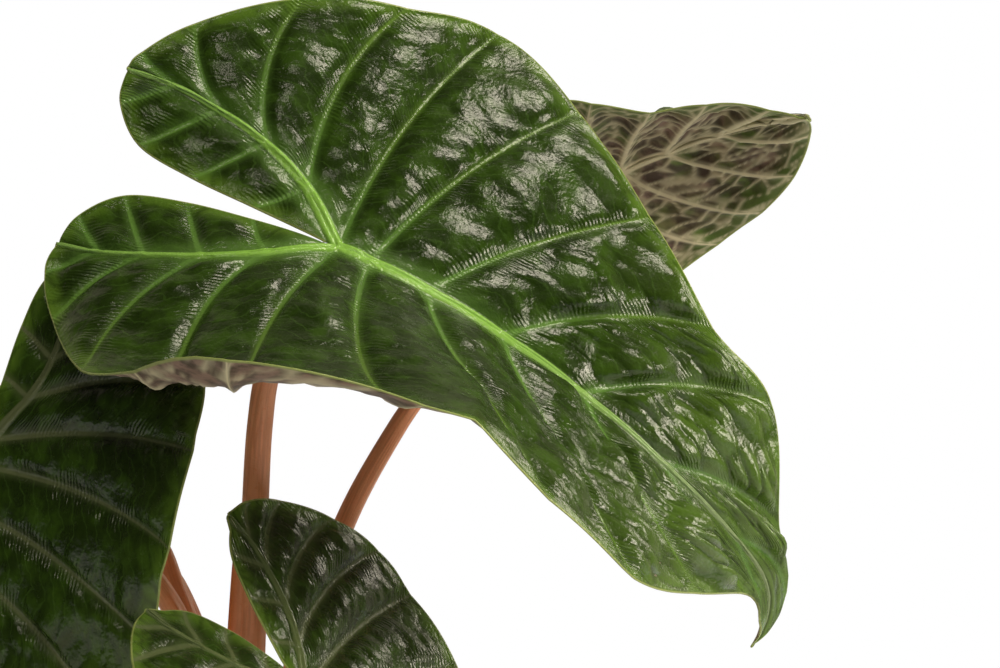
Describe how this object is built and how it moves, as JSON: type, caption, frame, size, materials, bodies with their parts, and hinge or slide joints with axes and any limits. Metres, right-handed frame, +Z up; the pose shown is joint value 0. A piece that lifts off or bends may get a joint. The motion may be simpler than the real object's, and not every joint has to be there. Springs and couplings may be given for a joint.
{
  "type": "potted pink dragon alocasia",
  "caption": "Alocasia house plant with large glossy arrow-shaped green blades, sunken veins and pink leaf stalks, growing in a plain clay flowerpot of soil.",
  "frame": {"origin": "middle of the pot's foot, on the surface the pot stands on", "axes": "+Z up; -Y towards the viewer of the front; the main blade points to +X"},
  "size_m": [0.4743, 0.3115, 0.4958],
  "materials": {
    "pot": "matt unglazed fired clay",
    "soil": "loose damp potting mix",
    "stem": "dry brown scarred bark",
    "stalk": "smooth pink skin with a soft sheen",
    "blade": "waxy gloss above, satin below"
  },
  "bodies": {
    "root": {"pot": "pot", "soil": "soil", "stem_base": "stem", "stalk_a": "stalk", "stalk_b": "stalk", "stalk_c": "stalk", "stalk_d": "stalk", "stalk_e": "stalk", "blade_a": "blade", "blade_b": "blade", "blade_c": "blade", "blade_d": "blade", "blade_e": "blade"}
  },
  "joints": []
}
